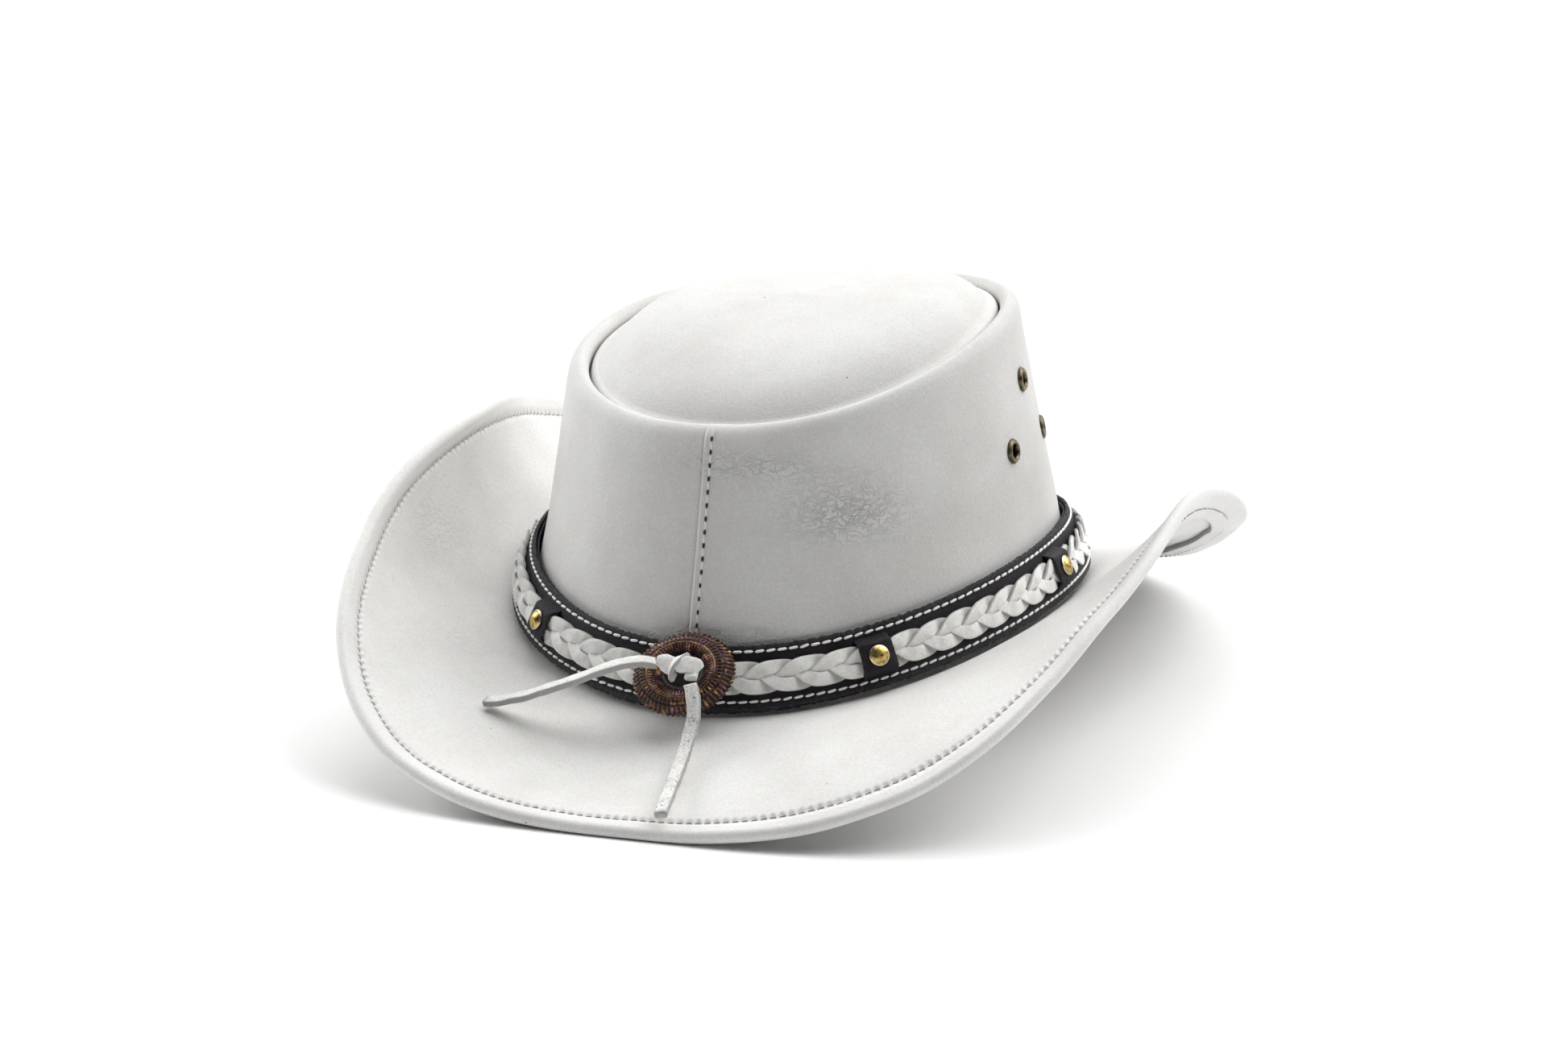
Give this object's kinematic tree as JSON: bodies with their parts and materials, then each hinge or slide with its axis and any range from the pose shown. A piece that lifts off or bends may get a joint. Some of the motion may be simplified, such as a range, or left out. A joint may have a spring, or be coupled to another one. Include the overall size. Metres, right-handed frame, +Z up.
{
  "type": "western hat",
  "caption": "Open-crown western hat in white leather with a curled wired brim and a lift-off black band carrying a braid, riveted keepers and a laced concho.",
  "frame": {"origin": "centre of the hat's length and width, at the level of the table it rests on", "axes": "+Z up, -Y towards the front of the hat where the concho is, +X towards the wearer's left"},
  "size_m": [0.2578, 0.3368, 0.1332],
  "materials": {
    "white_leather": "smooth off-white cowhide, matte satin, fine grain",
    "lining_leather": "soft undyed lining leather, matte",
    "black_leather": "black leather with rough cut edges, soft sheen",
    "suede_lace": "cream lace leather, napped grey-white cut sides",
    "white_thread": "waxed white thread",
    "grey_thread": "waxed grey thread",
    "wire": "plain round wire",
    "rivet_brass": "polished brass with a worn rim",
    "antique_brass": "darkened antique brass",
    "antique_copper": "antiqued copper with purple and gold tints"
  },
  "bodies": {
    "hat": {"crown_side_left": "white_leather", "crown_side_right": "white_leather", "crown_tip": "white_leather", "crown_front_thread": "grey_thread", "crown_back_thread": "grey_thread", "sweatband": "lining_leather", "sweatband_thread": "grey_thread", "eyelet_left_1": "antique_brass", "eyelet_washer_left_1": "antique_brass", "eyelet_left_2": "antique_brass", "eyelet_washer_left_2": "antique_brass", "eyelet_left_3": "antique_brass", "eyelet_washer_left_3": "antique_brass", "eyelet_right_1": "antique_brass", "eyelet_washer_right_1": "antique_brass", "eyelet_right_2": "antique_brass", "eyelet_washer_right_2": "antique_brass", "eyelet_right_3": "antique_brass", "eyelet_washer_right_3": "antique_brass", "brim": "white_leather", "brim_wire": "wire", "brim_edge_thread": "grey_thread"},
    "hatband": {"band_strap": "black_leather", "band_backing": "black_leather", "band_braid": "suede_lace", "band_thread_upper": "white_thread", "band_thread_lower": "white_thread", "band_keeper_1": "black_leather", "band_rivet_1": "rivet_brass", "band_keeper_2": "black_leather", "band_rivet_2": "rivet_brass", "band_keeper_3": "black_leather", "band_rivet_3": "rivet_brass", "band_keeper_4": "black_leather", "band_rivet_4": "rivet_brass", "band_keeper_5": "black_leather", "band_rivet_5": "rivet_brass", "band_keeper_6": "black_leather", "band_rivet_6": "rivet_brass", "concho": "antique_copper", "lace_knot": "suede_lace", "lace_tail_front": "suede_lace", "lace_tail_side": "suede_lace"}
  },
  "joints": [
    {"name": "hatband_lift", "type": "slide", "parent": "hat", "child": "hatband", "axis": [0, 0, 1], "range_m": [0, 0.13]}
  ]
}
